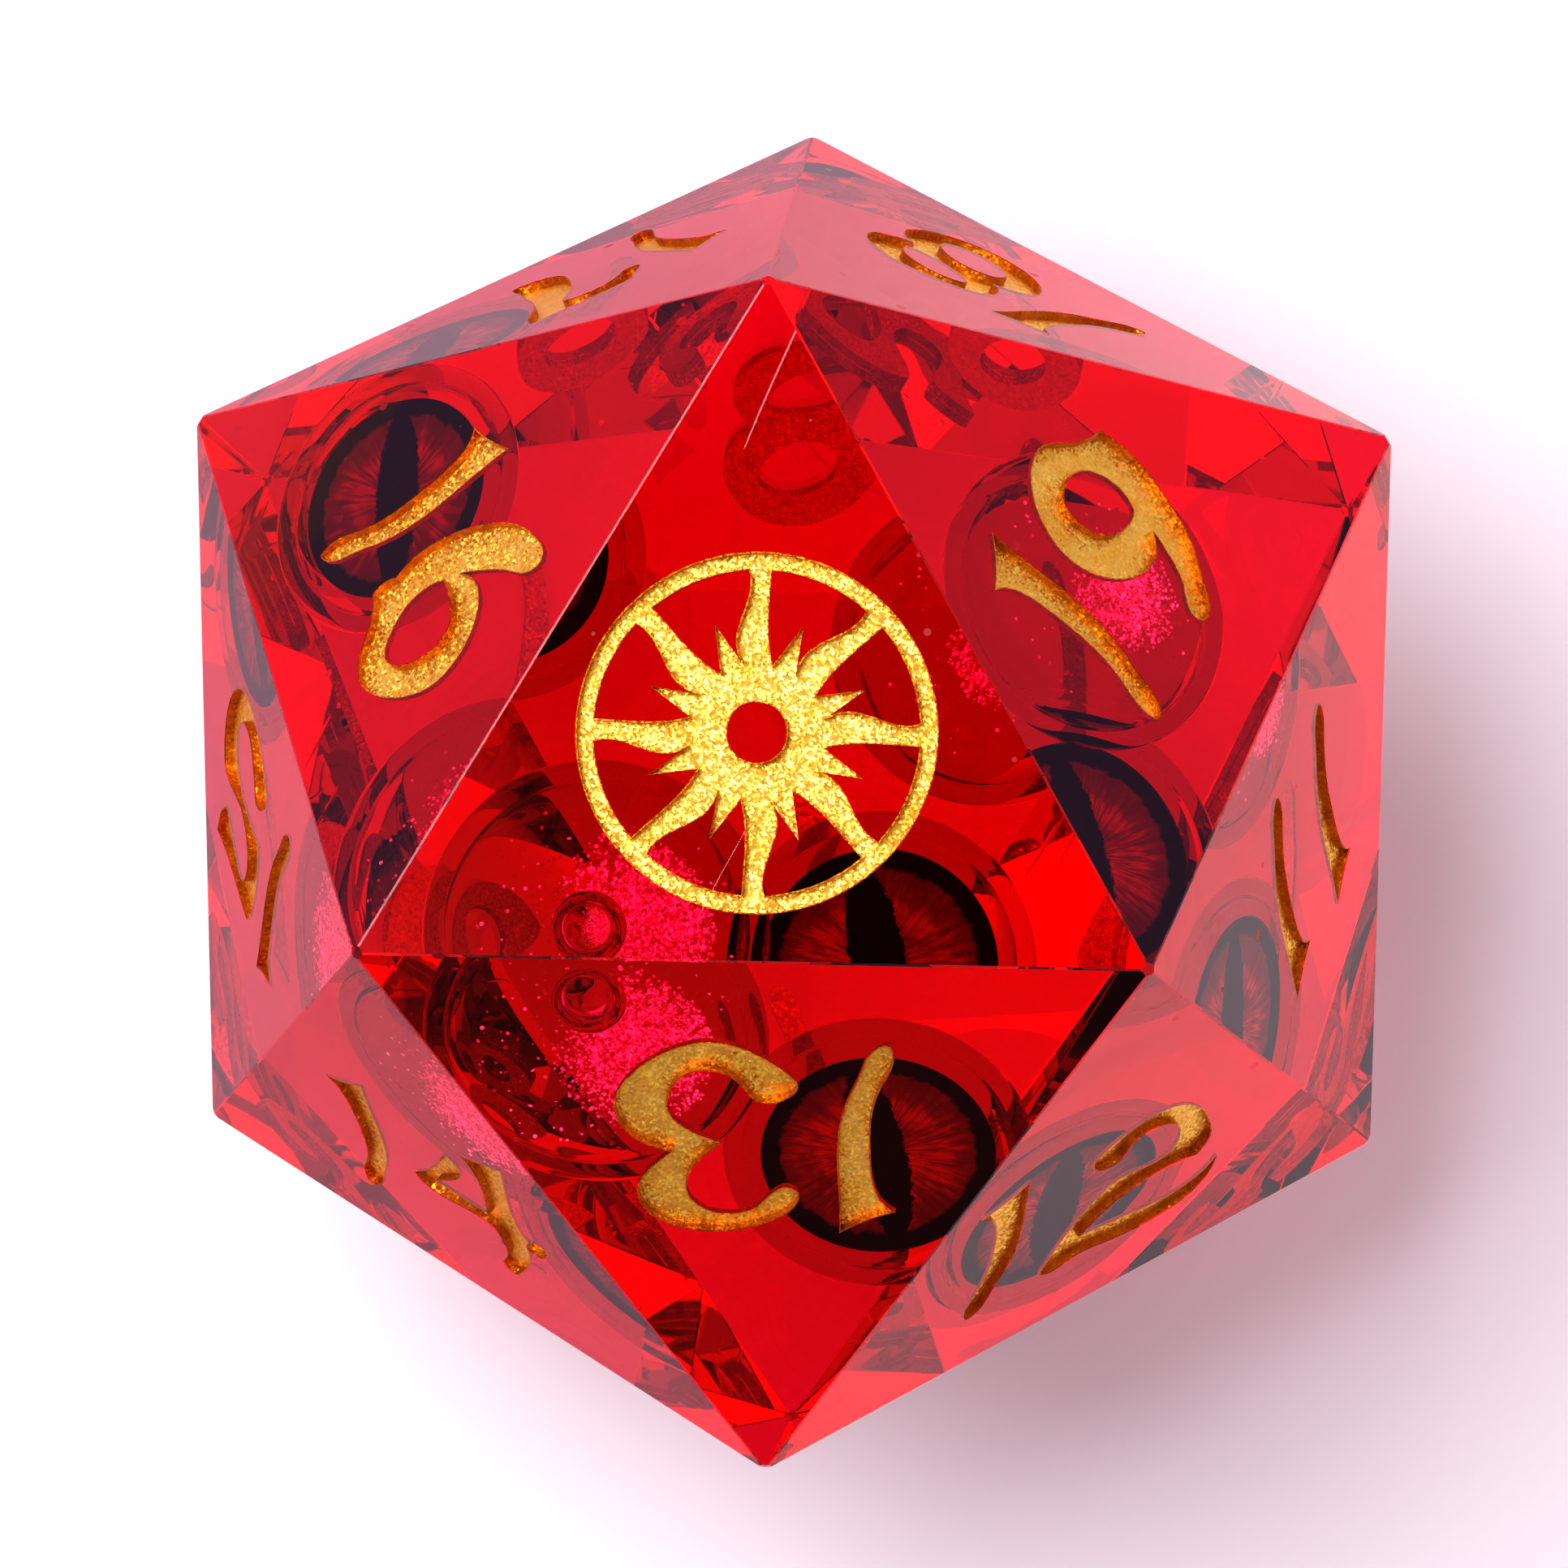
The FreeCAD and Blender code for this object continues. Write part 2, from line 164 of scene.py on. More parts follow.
def ball(radius: float, rings: int = 64, steps: int = 128) -> Surface:
    """A whole ball, centred on the origin.

    Its half circle has the radius times the sine across, and less the radius times the cosine
    in height, of the angle from the downward pole.

    Args:
        radius: The ball's radius.
        rings: Number of spans from pole to pole.
        steps: Number of divisions of the full turn.

    Returns:
        The ball, facing out.
    """
    angle = np.radians(np.linspace(0, 180, rings + 1))
    rows = np.stack([radius * np.sin(angle), -radius * np.cos(angle)], axis=1)
    rows[np.abs(rows[:, 0]) < 1e-9, 0] = 0.0
    return revolved(rows, steps)


def make_object(name: str, surface: Surface, smooth: bool = True) -> bpy.types.Object:
    """Puts a surface into a mesh object at the origin.

    Args:
        name: The piece's name.
        surface: What it is made of.
        smooth: Whether all its faces shade smooth.

    Returns:
        The linked object.
    """
    mesh = bpy.data.meshes.new(name)
    quads, tris = surface.quads, surface.tris
    corners = np.concatenate([quads.ravel(), tris.ravel()]).astype(np.int32)
    totals = np.concatenate([np.full(len(quads), 4), np.full(len(tris), 3)]).astype(np.int32)
    starts = np.concatenate([[0], np.cumsum(totals)[:-1]]).astype(np.int32)
    mesh.vertices.add(len(surface.points))
    mesh.vertices.foreach_set("co", surface.points.astype(np.float32).ravel())
    mesh.loops.add(len(corners))
    mesh.loops.foreach_set("vertex_index", corners)
    mesh.polygons.add(len(totals))
    mesh.polygons.foreach_set("loop_start", starts)
    mesh.polygons.foreach_set("loop_total", totals)
    mesh.polygons.foreach_set("use_smooth", np.full(len(totals), smooth))
    mesh.update(calc_edges=True)
    mesh.validate()
    made = bpy.data.objects.new(name, mesh)
    bpy.context.scene.collection.objects.link(made)
    return made


def two_walls(
    name: str, outside: Surface, inside: Surface, finishes: tuple[bpy.types.Material, ...]
) -> bpy.types.Object:
    """Makes one piece of an outer and an inner wall, each with its own finish.

    Args:
        name: The piece's name.
        outside: The outer wall.
        inside: The inner wall, facing into the hollow.
        finishes: The outer wall's finish and the inner wall's.

    Returns:
        The linked object.
    """
    made = make_object(name, outside.joined(inside))
    for finish in finishes:
        made.data.materials.append(finish)
    quads, first = len(outside.quads) + len(inside.quads), len(outside.quads)
    slots = np.zeros(len(made.data.polygons), np.int32)
    slots[first:quads] = 1
    slots[quads + len(outside.tris) :] = 1
    made.data.polygons.foreach_set("material_index", slots)
    return made


def point_values(mesh: bpy.types.Mesh, name: str, values: np.ndarray) -> None:
    """Stores one number for each point of a mesh, under a name."""
    mesh.attributes.new(name, "FLOAT", "POINT").data.foreach_set("value", values)


def stand_for(piece: bpy.types.Object, nodes: list[str], body: str) -> bpy.types.Object:
    """Lets a piece stand for CAD nodes, on the body it rides."""
    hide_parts(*nodes)
    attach(piece, body)
    return piece


def merged_triangles(node: bpy.types.Object) -> tuple[np.ndarray, np.ndarray]:
    """A CAD node's triangles with the corners they share made one.

    Args:
        node: The CAD node, which is left as it is.

    Returns:
        The points, and the triangles that keep three different corners.
    """
    mesh = node.data
    mesh.calc_loop_triangles()
    points = np.empty(len(mesh.vertices) * 3, np.float32)
    mesh.vertices.foreach_get("co", points)
    tris = np.empty(len(mesh.loop_triangles) * 3, np.int32)
    mesh.loop_triangles.foreach_get("vertices", tris)
    keys = np.round(points.reshape(-1, 3).astype(float) / (MM * 1e-4)).astype(np.int64)
    _, first, back = np.unique(keys, axis=0, return_index=True, return_inverse=True)
    tris = back.reshape(-1)[tris].reshape(-1, 3)
    whole = (tris[:, 0] != tris[:, 1]) & (tris[:, 1] != tris[:, 2]) & (tris[:, 2] != tris[:, 0])
    return points.reshape(-1, 3).astype(float)[first], tris[whole]


def triangle_normals(points: np.ndarray, tris: np.ndarray) -> tuple[np.ndarray, np.ndarray]:
    """Each triangle's unit normal and its area, from the cross product of two sides."""
    start = points[tris[:, 0]]
    cross = np.cross(points[tris[:, 1]] - start, points[tris[:, 2]] - start)
    size = np.linalg.norm(cross, axis=1)
    return cross / np.maximum(size, 1e-30)[:, None], size / 2


# --- Node helpers -------------------------------------------------------------------------


class Board:
    """A node tree with short ways to add and join nodes."""

    def __init__(self, tree: bpy.types.NodeTree) -> None:
        """Works on this tree."""
        self.tree = tree

    def add(self, kind: str, **settings: object) -> bpy.types.Node:
        """Adds a node of this kind, with these properties set."""
        node = self.tree.nodes.new(kind)
        for name, value in settings.items():
            setattr(node, name, value)
        return node

    def join(self, source: Socket, into: Socket) -> None:
        """Links one socket to another."""
        self.tree.links.new(source, into)

    def feed(self, into: Socket, value: Value) -> None:
        """Links a socket or sets a plain value."""
        if isinstance(value, Socket):
            self.join(value, into)
        else:
            into.default_value = value

    def maths(self, operation: str, *values: Value) -> Socket:
        """A Math node's result on sockets or numbers."""
        node = self.add("ShaderNodeMath", operation=operation)
        for into, value in zip(node.inputs, values):
            self.feed(into, value)
        return node.outputs[0]

    def times(self, one: Value, other: Value) -> Socket:
        """The product of two sockets or numbers."""
        return self.maths("MULTIPLY", one, other)

    def vector(self, operation: str, *values: Value) -> Socket:
        """A Vector Math node's vector on sockets or plain vectors."""
        node = self.add("ShaderNodeVectorMath", operation=operation)
        for into, value in zip(node.inputs, values):
            self.feed(into, value)
        return node.outputs[0]

    def parts(self, at: Socket) -> tuple[Socket, Socket, Socket]:
        """The three coordinates of a place."""
        node = self.add("ShaderNodeSeparateXYZ")
        self.join(at, node.inputs[0])
        return node.outputs[0], node.outputs[1], node.outputs[2]

    def attribute(self, name: str) -> Socket:
        """A mesh attribute's number."""
        return self.add("ShaderNodeAttribute", attribute_name=name).outputs["Fac"]

    def object_place(self) -> Socket:
        """The place on the piece, in the row frame."""
        return self.add("ShaderNodeTexCoord").outputs["Object"]

    def noise(self, at: Value, scale: Value, detail: float, rough: float) -> Socket:
        """A Noise Texture's value."""
        node = self.add("ShaderNodeTexNoise")
        self.feed(node.inputs["Vector"], at)
        self.feed(node.inputs["Scale"], scale)
        node.inputs["Detail"].default_value = detail
        node.inputs["Roughness"].default_value = rough
        return node.outputs["Fac"]

    def fade(self, value: Value, low: float, high: float) -> Socket:
        """A smooth step of a value from 0 at low to 1 at high."""
        node = self.add("ShaderNodeMapRange", interpolation_type="SMOOTHSTEP")
        self.feed(node.inputs["Value"], value)
        node.inputs["From Min"].default_value = low
        node.inputs["From Max"].default_value = high
        return node.outputs["Result"]

    def mix(self, share: Value, one: Socket | Colour, other: Socket | Colour) -> Socket:
        """A colour mixed from two by a share."""
        node = self.add("ShaderNodeMix", data_type="RGBA")
        self.feed(node.inputs[0], share)
        for into, colour in ((node.inputs[6], one), (node.inputs[7], other)):
            self.feed(into, colour if isinstance(colour, Socket) else (*colour, 1.0))
        return node.outputs[2]

    def bump(
        self, height: Socket, strength: float, distance: float, normal: Socket | None = None
    ) -> Socket:
        """A Bump node's normal, on top of another one where that is given."""
        node = self.add("ShaderNodeBump")
        if normal is not None:
            self.join(normal, node.inputs["Normal"])
        self.feed(node.inputs["Height"], height)
        node.inputs["Strength"].default_value = strength
        node.inputs["Distance"].default_value = distance
        return node.outputs["Normal"]


def new_group(
    pattern: Pattern, inputs: dict[str, float], outputs: dict[str, str]
) -> tuple[bpy.types.NodeTree, Board, bpy.types.Node, bpy.types.Node]:
    """Makes a shader node group.

    Args:
        pattern: The pattern, whose value is the group's name.
        inputs: Number inputs and their default values. A vector input "At" is added first.
        outputs: Output names and socket types.

    Returns:
        The group, a board on it, its input node and its output node.
    """
    group = bpy.data.node_groups.new(pattern.value, "ShaderNodeTree")
    group.interface.new_socket("At", in_out="INPUT", socket_type="NodeSocketVector")
    for label, value in inputs.items():
        made = group.interface.new_socket(label, in_out="INPUT", socket_type="NodeSocketFloat")
        made.default_value = value
    for label, kind in outputs.items():
        group.interface.new_socket(label, in_out="OUTPUT", socket_type=kind)
    board = Board(group)
    return group, board, board.add("NodeGroupInput"), board.add("NodeGroupOutput")


def voronoi(board: Board, given: bpy.types.Node) -> tuple[bpy.types.Node, Socket, Socket]:
    """A Voronoi pattern at a group's place and scale.

    Args:
        board: The group's nodes.
        given: The group's input node, with "At" and "Scale".

    Returns:
        The pattern's node, and the red and green of its cells' colour.
    """
    cells = board.add("ShaderNodeTexVoronoi")
    board.join(given.outputs["At"], cells.inputs["Vector"])
    board.join(given.outputs["Scale"], cells.inputs["Scale"])
    split = board.add("ShaderNodeSeparateColor")
    board.join(cells.outputs["Color"], split.inputs[0])
    return cells, split.outputs[0], split.outputs[1]


def specks_group() -> bpy.types.NodeTree:
    """Fine pits and dust: one small dot in some cells of a Voronoi pattern.

    Returns:
        A group that puts out the dots' mask.
    """
    group, board, given, out = new_group(
        Pattern.SPECKS, {"Scale": 400.0, "Share": 0.1, "Size": 0.2}, {"Mask": "NodeSocketFloat"}
    )
    cells, red, green = voronoi(board, given)
    chosen = board.maths("LESS_THAN", red, given.outputs["Share"])
    size = board.times(green, given.outputs["Size"])
    near = board.maths("LESS_THAN", cells.outputs["Distance"], size)
    board.join(board.times(chosen, near), out.inputs["Mask"])
    return group


def scratches_group() -> bpy.types.NodeTree:
    """Hairline scratches: thin level lines of a noise stretched along one direction.

    Returns:
        A group that puts out the scratches' mask.
    """
    grain_axis, stretch = (0.31, 0.52, 0.79), (1.0, 0.07, 0.25)
    line_width, patch_scale = 0.0035, 90.0
    group, board, given, out = new_group(
        Pattern.SCRATCHES,
        {"Turn": 0.5, "Scale": 60.0, "Amount": 0.5},
        {"Mask": "NodeSocketFloat"},
    )
    turned = board.add("ShaderNodeVectorRotate", rotation_type="AXIS_ANGLE")
    turned.inputs["Axis"].default_value = grain_axis
    board.join(given.outputs["At"], turned.inputs["Vector"])
    board.join(given.outputs["Turn"], turned.inputs["Angle"])
    stretched = board.vector("MULTIPLY", turned.outputs[0], stretch)
    lines = board.noise(stretched, given.outputs["Scale"], 3.0, 0.5)
    level = board.maths("ABSOLUTE", board.maths("SUBTRACT", lines, 0.5))
    thin = board.fade(level, line_width, 0.0)
    patches = board.noise(given.outputs["At"], patch_scale, 2.0, 0.5)
    kept = board.times(thin, board.fade(patches, 0.52, 0.6))
    board.join(board.times(kept, given.outputs["Amount"]), out.inputs["Mask"])
    return group


def flakes_group() -> bpy.types.NodeTree:
    """Metal flakes in paint or film: each Voronoi cell has its own tone and its own lean.

    Returns:
        A group that puts out each flake's tone, and the surface normal leant by the cell's
        colour less its middle, times the lean.
    """
    group, board, given, out = new_group(
        Pattern.FLAKES,
        {"Scale": 7000.0, "Lean": 0.6},
        {"Tone": "NodeSocketFloat", "Normal": "NodeSocketVector"},
    )
    cells, red, _ = voronoi(board, given)
    board.join(red, out.inputs["Tone"])
    centred = board.vector("SUBTRACT", cells.outputs["Color"], (0.5, 0.5, 0.5))
    leant = board.add("ShaderNodeVectorMath", operation="SCALE")
    board.join(centred, leant.inputs[0])
    board.join(given.outputs["Lean"], leant.inputs["Scale"])
    straight = board.add("ShaderNodeNewGeometry").outputs["Normal"]
    both = board.vector("ADD", straight, leant.outputs[0])
    board.join(board.vector("NORMALIZE", both), out.inputs["Normal"])
    return group


class SharedGroups:
    """The node groups that several finishes use, each built once."""

    def __init__(self) -> None:
        """Starts with none built."""
        self.made: dict[Pattern, bpy.types.NodeTree] = {}

    def place(self, board: Board, pattern: Pattern, **values: Value) -> bpy.types.Node:
        """Places a shared group in a material.

        Args:
            board: The material's nodes.
            pattern: Which pattern.
            **values: Input values by name.

        Returns:
            The group node.
        """
        if pattern not in self.made:
            makers = {
                Pattern.SPECKS: specks_group,
                Pattern.SCRATCHES: scratches_group,
                Pattern.FLAKES: flakes_group,
            }
            self.made[pattern] = makers[pattern]()
        node = board.add("ShaderNodeGroup", node_tree=self.made[pattern])
        for label, value in values.items():
            board.feed(node.inputs[label], value)
        return node


GROUPS = SharedGroups()


def new_material(name: str) -> tuple[bpy.types.Material, Board, bpy.types.Node, bpy.types.Node]:
    """A material with its Principled shader.

    Args:
        name: The material's name.

    Returns:
        The material, a board on its nodes, its Principled node and its output node.
    """
    made = bpy.data.materials.new(name)
    made.use_nodes = True
    board = Board(made.node_tree)
    shader = made.node_tree.nodes["Principled BSDF"]
    return made, board, shader, made.node_tree.nodes["Material Output"]


# --- Finishes -----------------------------------------------------------------------------


@dataclass(frozen=True)
class CastResin:
    """Clear red resin. Its index comes from the piece, since its seats bend light less."""

    name: str = "red_cast_resin"
    kept: Colour = (0.98, 0.15, 0.58)
    density: float = 200.0
    clear: Colour = (1.0, 0.985, 0.985)
    # Painted shadow: a darker, greyer skin for diffuse rays from the table, between the two heights
    # below.
    painted_shadow_colour: Colour = (0.4, 0.55, 0.55)
    shadow_paint_from: float = 1.0 * MM
    shadow_paint_to: float = 12.0 * MM
    roughness: float = 0.012
    worn_roughness: float = 0.35
    wear_depth: float = 0.04 * MM
    index_attribute: str = "index_ratio"
    skin_attribute: str = "outer_skin"

    def material(self) -> bpy.types.Material:
        """Builds the material: clear skin with pits and hairlines, red by depth."""
        made, board, shader, out = new_material(self.name)
        at = board.object_place()
        shader.inputs["Transmission Weight"].default_value = 1.0
        board.join(self.table_shadow_dimming(board, at), shader.inputs["Base Color"])
        board.join(board.attribute(self.index_attribute), shader.inputs["IOR"])
        pits = GROUPS.place(board, Pattern.SPECKS, At=at, Scale=520.0, Share=0.16, Size=0.2)
        lines = GROUPS.place(board, Pattern.SCRATCHES, At=at, Turn=0.6, Scale=70.0, Amount=0.12)
        wear = board.maths("MAXIMUM", pits.outputs["Mask"], lines.outputs["Mask"])
        wear = board.times(wear, board.attribute(self.skin_attribute))
        rough = board.maths("MULTIPLY_ADD", wear, self.worn_roughness, self.roughness)
        board.join(rough, shader.inputs["Roughness"])
        down = board.times(wear, -1.0)
        board.join(board.bump(down, 0.5, self.wear_depth), shader.inputs["Normal"])
        depth = board.add("ShaderNodeVolumeAbsorption")
        depth.inputs["Color"].default_value = (*self.kept, 1.0)
        depth.inputs["Density"].default_value = self.density
        board.join(depth.outputs[0], out.inputs["Volume"])
        return made

    def table_shadow_dimming(self, board: Board, at: Socket) -> Socket:
        """Nearly clear, but darker for diffuse rays from the table that enter well above the foot.

        This is painted shadow: it keeps the red light round the die's foot faint and grey.

        Args:
            board: The material's nodes.
            at: The place on the piece.

        Returns:
            The colour.
        """
        scattered = board.add("ShaderNodeLightPath").outputs["Is Diffuse Ray"]
        inside = board.add("ShaderNodeNewGeometry").outputs["Backfacing"]
        entering = board.times(scattered, board.maths("SUBTRACT", 1.0, inside))
        raised = board.fade(board.parts(at)[2], self.shadow_paint_from, self.shadow_paint_to)
        # Painted shadow: diffuse rays from the table see the skin darker above the foot.
        return board.mix(board.times(entering, raised), self.clear, self.painted_shadow_colour)


@dataclass(frozen=True)
class ClearFinish:
    """A clear moulded or liquid surface that bends light by a plain index ratio."""

    name: str
    ratio: float

    def material(self) -> bpy.types.Material:
        """Builds the material."""
        made, _, shader, _ = new_material(self.name)
        shader.inputs["Transmission Weight"].default_value = 1.0
        shader.inputs["Base Color"].default_value = (1.0, 1.0, 1.0, 1.0)
        shader.inputs["IOR"].default_value = self.ratio
        shader.inputs["Roughness"].default_value = 0.0
        return made


@dataclass(frozen=True)
class GoldPaint:
    """Gold paint: fine flakes that each lean their own way, a little darker in patches."""

    name: str
    bright: Colour
    dark: Colour
    metal: float = 0.9
    grain: float = 8500.0
    lean: float = 0.6
    uneven: float = 0.45
    swell_depth: float = 0.05 * MM

    def material(self) -> bpy.types.Material:
        """Builds the material."""
        made, board, shader, _ = new_material(self.name)
        at = board.object_place()
        flakes = GROUPS.place(board, Pattern.FLAKES, At=at, Scale=self.grain, Lean=self.lean)
        tone = flakes.outputs["Tone"]
        patch = board.noise(at, 700.0, 3.0, 0.6)
        share = board.times(board.fade(patch, 0.7, 0.3), self.uneven)
        share = board.maths("MULTIPLY_ADD", tone, self.uneven, share)
        board.join(board.mix(share, self.bright, self.dark), shader.inputs["Base Color"])
        shader.inputs["Metallic"].default_value = self.metal
        board.join(board.maths("MULTIPLY_ADD", tone, 0.2, 0.3), shader.inputs["Roughness"])
        swell = board.noise(at, 1300.0, 2.0, 0.5)
        normal = board.bump(swell, 0.4, self.swell_depth, flakes.outputs["Normal"])
        board.join(normal, shader.inputs["Normal"])
        return made


@dataclass(frozen=True)
class GlitterFilm:
    """Metallised film flakes, each of its own tone, from the attribute "tone"."""

    name: str
    pink: Colour = (1.0, 0.62, 0.76)
    silver: Colour = (1.0, 0.94, 0.97)
    deep: Colour = (0.95, 0.16, 0.46)
    # Painted highlights: emission colour and strength for the brightest flakes.
    painted_glint: Colour = (0.85, 1.0, 0.75)
    painted_glint_strength: float = 1.35

    def material(self) -> bpy.types.Material:
        """Builds the material. The brightest flakes glow by themselves through the resin: painted
        highlights that stand in for light focused on them.
        """
        made, board, shader, _ = new_material(self.name)
        tone = board.attribute("tone")
        lower = board.mix(board.fade(tone, 0.0, 0.45), self.deep, self.pink)
        colour = board.mix(board.fade(tone, 0.6, 0.95), lower, self.silver)
        board.join(colour, shader.inputs["Base Color"])
        painted_glint = board.mix(board.fade(tone, 0.5, 1.0), (0.0, 0.0, 0.0), self.painted_glint)
        board.join(painted_glint, shader.inputs["Emission Color"])
        shader.inputs["Emission Strength"].default_value = self.painted_glint_strength
        shader.inputs["Metallic"].default_value = 0.3
        shader.inputs["Roughness"].default_value = 0.3
        return made


@dataclass(frozen=True)
class PrintedIris:
    """A printed reptile eye: screened red with streaks, a dark ring and a ragged slit."""

    name: str
    centre: tuple[float, float, float]
    radius: float
    slit_turn: float
    seed: float
    pupil: Colour = (0.004, 0.002, 0.002)
    ring: Colour = (0.01, 0.003, 0.004)
    dark: Colour = (0.24, 0.014, 0.02)
    middle: Colour = (0.95, 0.07, 0.07)
    light: Colour = (1.0, 0.42, 0.26)
    screen_lines: int = 42
    slit_length: float = 0.88
    slit_width: float = 0.24

    def material(self) -> bpy.types.Material:
        """Builds the material from the place on the disc, measured in iris radii."""
        made, board, shader, _ = new_material(self.name)
        frame = board.add("ShaderNodeMapping", vector_type="TEXTURE")
        board.join(board.object_place(), frame.inputs["Vector"])
        frame.inputs["Location"].default_value = self.centre
        frame.inputs["Rotation"].default_value = (0.0, 0.0, self.slit_turn)
        frame.inputs["Scale"].default_value = (self.radius,) * 3
        place = frame.outputs[0]
        across, along, _ = board.parts(place)
        squares = board.maths("ADD", board.times(across, across), board.times(along, along))
        reach = board.maths("SQRT", squares)
        red = self.screened_red(board, place, across, along, reach)
        colour = board.mix(self.slit(board, place, across, along), red, self.pupil)
        rim_noise = board.noise(place, 7.0 + self.seed, 4.0, 0.6)
        rim = board.fade(board.maths("MULTIPLY_ADD", rim_noise, 0.16, reach), 0.88, 0.93)
        board.join(board.mix(rim, colour, self.ring), shader.inputs["Base Color"])
        shader.inputs["Roughness"].default_value = 0.55
        return made

    def screened_red(
        self, board: Board, place: Socket, across: Socket, along: Socket, reach: Socket
    ) -> Socket:
        """The red of the iris: streaks towards the centre, under a fine print screen.

        The screen is the sine across times the sine along.

        Args:
            board: The material's nodes.
            place: Place in iris radii.
            across: Its share across the slit.
            along: Its share along the slit.
            reach: Distance from the centre.

        Returns:
            The colour.
        """
        streak_at = board.add("ShaderNodeCombineXYZ")
        board.join(board.times(board.maths("ARCTAN2", along, across), 9.0), streak_at.inputs[0])
        board.join(board.times(reach, 1.6), streak_at.inputs[1])
        streak_at.inputs[2].default_value = self.seed
        streaks = board.noise(streak_at.outputs[0], 1.6, 4.0, 0.65)
        blotches = board.noise(place, 2.6, 3.0, 0.6)
        tone = board.times(board.fade(streaks, 0.3, 0.68), board.fade(blotches, 0.25, 0.7))
        inner = board.times(tone, board.fade(reach, 1.02, 0.45))
        pitch = 2 * math.pi * self.screen_lines
        screen = board.times(
            board.maths("SINE", board.times(across, pitch)),
            board.maths("SINE", board.times(along, pitch)),
        )
        dotted = board.maths("MULTIPLY_ADD", screen, 0.28, inner)
        shade = board.mix(board.fade(dotted, 0.05, 0.5), self.dark, self.middle)
        return board.mix(board.fade(dotted, 0.45, 1.1), shade, self.light)

    def slit(self, board: Board, place: Socket, across: Socket, along: Socket) -> Socket:
        """The pupil's mask, whose half width is the root of one less the squared share along.

        Args:
            board: The material's nodes.
            place: Place in iris radii.
            across: Its share across the slit.
            along: Its share along the slit.

        Returns:
            The mask.
        """
        end = board.maths("DIVIDE", along, self.slit_length)
        bow = board.maths("SUBTRACT", 1.0, board.times(end, end))
        bow = board.maths("SQRT", board.maths("MAXIMUM", bow, 0.0))
        ragged = board.noise(place, 9.0 + self.seed, 5.0, 0.7)
        edge = board.times(board.maths("SUBTRACT", ragged, 0.5), 0.16)
        width = board.maths("MULTIPLY_ADD", bow, self.slit_width, edge)
        spare = board.maths("SUBTRACT", width, board.maths("ABSOLUTE", across))
        return board.times(board.fade(spare, -0.01, 0.012), board.fade(bow, 0.0, 0.15))


@dataclass(frozen=True)
class DarkWeight:
    """The dark backing of an eye."""

    name: str = "dark_backing"

    def material(self) -> bpy.types.Material:
        """Builds the material."""
        made, board, shader, _ = new_material(self.name)
        patch = board.noise(board.object_place(), 600.0, 4.0, 0.6)
        colour = board.mix(patch, (0.012, 0.006, 0.007), (0.05, 0.015, 0.018))
        board.join(colour, shader.inputs["Base Color"])
        shader.inputs["Roughness"].default_value = 0.6
        return made


@dataclass(frozen=True)
class TableTop:
    """The pale surface the die lies on.

    Seen through the die it glows with painted light, and mirrored in the die's sides on the left it
    is painted dimmer, as painted reflection.
    """

    name: str = "pale_table"
    glow: Colour = (0.36, 0.34, 0.36)
    colour: Colour = (0.93, 0.865, 0.92)
    # Painted reflection: the table's colour as the die's sides mirror it on the left.
    painted_dim_reflection: Colour = (0.6, 0.42, 0.5)
    right_end: float = 50.0 * MM
    left_end: float = -20.0 * MM

    def material(self) -> bpy.types.Material:
        """Builds the material."""
        made, board, shader, _ = new_material(self.name)
        at = board.object_place()
        darker = tuple(0.985 * c for c in self.colour)
        plain = board.mix(board.noise(at, 9.0, 2.0, 0.5), self.colour, darker)
        # Painted reflection: the table seen mirrored in the die's sides is dimmer towards the left.
        left = board.fade(board.parts(at)[0], self.right_end, self.left_end)
        mirrored = board.mix(left, self.colour, self.painted_dim_reflection)
        path = board.add("ShaderNodeLightPath").outputs
        colour = board.mix(path["Is Glossy Ray"], plain, mirrored)
        board.join(colour, shader.inputs["Base Color"])
        shader.inputs["Roughness"].default_value = 0.9
        shader.inputs["Specular IOR Level"].default_value = 0.1
        # Painted light: the table glows only for rays that have passed through the die.
        glow = board.mix(path["Is Transmission Ray"], (0.0, 0.0, 0.0), self.glow)
        board.join(glow, shader.inputs["Emission Color"])
        shader.inputs["Emission Strength"].default_value = 1.0
        return made


# --- Pieces -------------------------------------------------------------------------------


@dataclass(frozen=True)
class BallPlace:
    """Where a ball is and how large, read from its half shells in the frame."""

    prefix: str
    centre: np.ndarray
    outer: float
    inner: float

    @staticmethod
    def read(prefix: str) -> BallPlace:
        """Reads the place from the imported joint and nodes.

        The centre is the joint's anchor. The radii are its distances from the lowest points of
        the lower half shell and of what lies in it, with the liquid's clearance added.

        Args:
            prefix: The ball's name, with which its nodes' names start.

        Returns:
            The centre, the shell's outer radius and its inner one.
        """
        anchor = next(j["pos_m"] for j in FRAME["joints"] if j["name"].startswith(prefix))
        outer = anchor[2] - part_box(f"{prefix}_shell_lower")[0].z
        filling = [n for n in FRAME["nodes"] if n in (f"{prefix}_liquid", f"{prefix}_glitter")]
        inner = anchor[2] - min(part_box(name)[0].z for name in filling) + LIQUID_GAP
        return BallPlace(prefix, np.array(anchor), outer, inner)


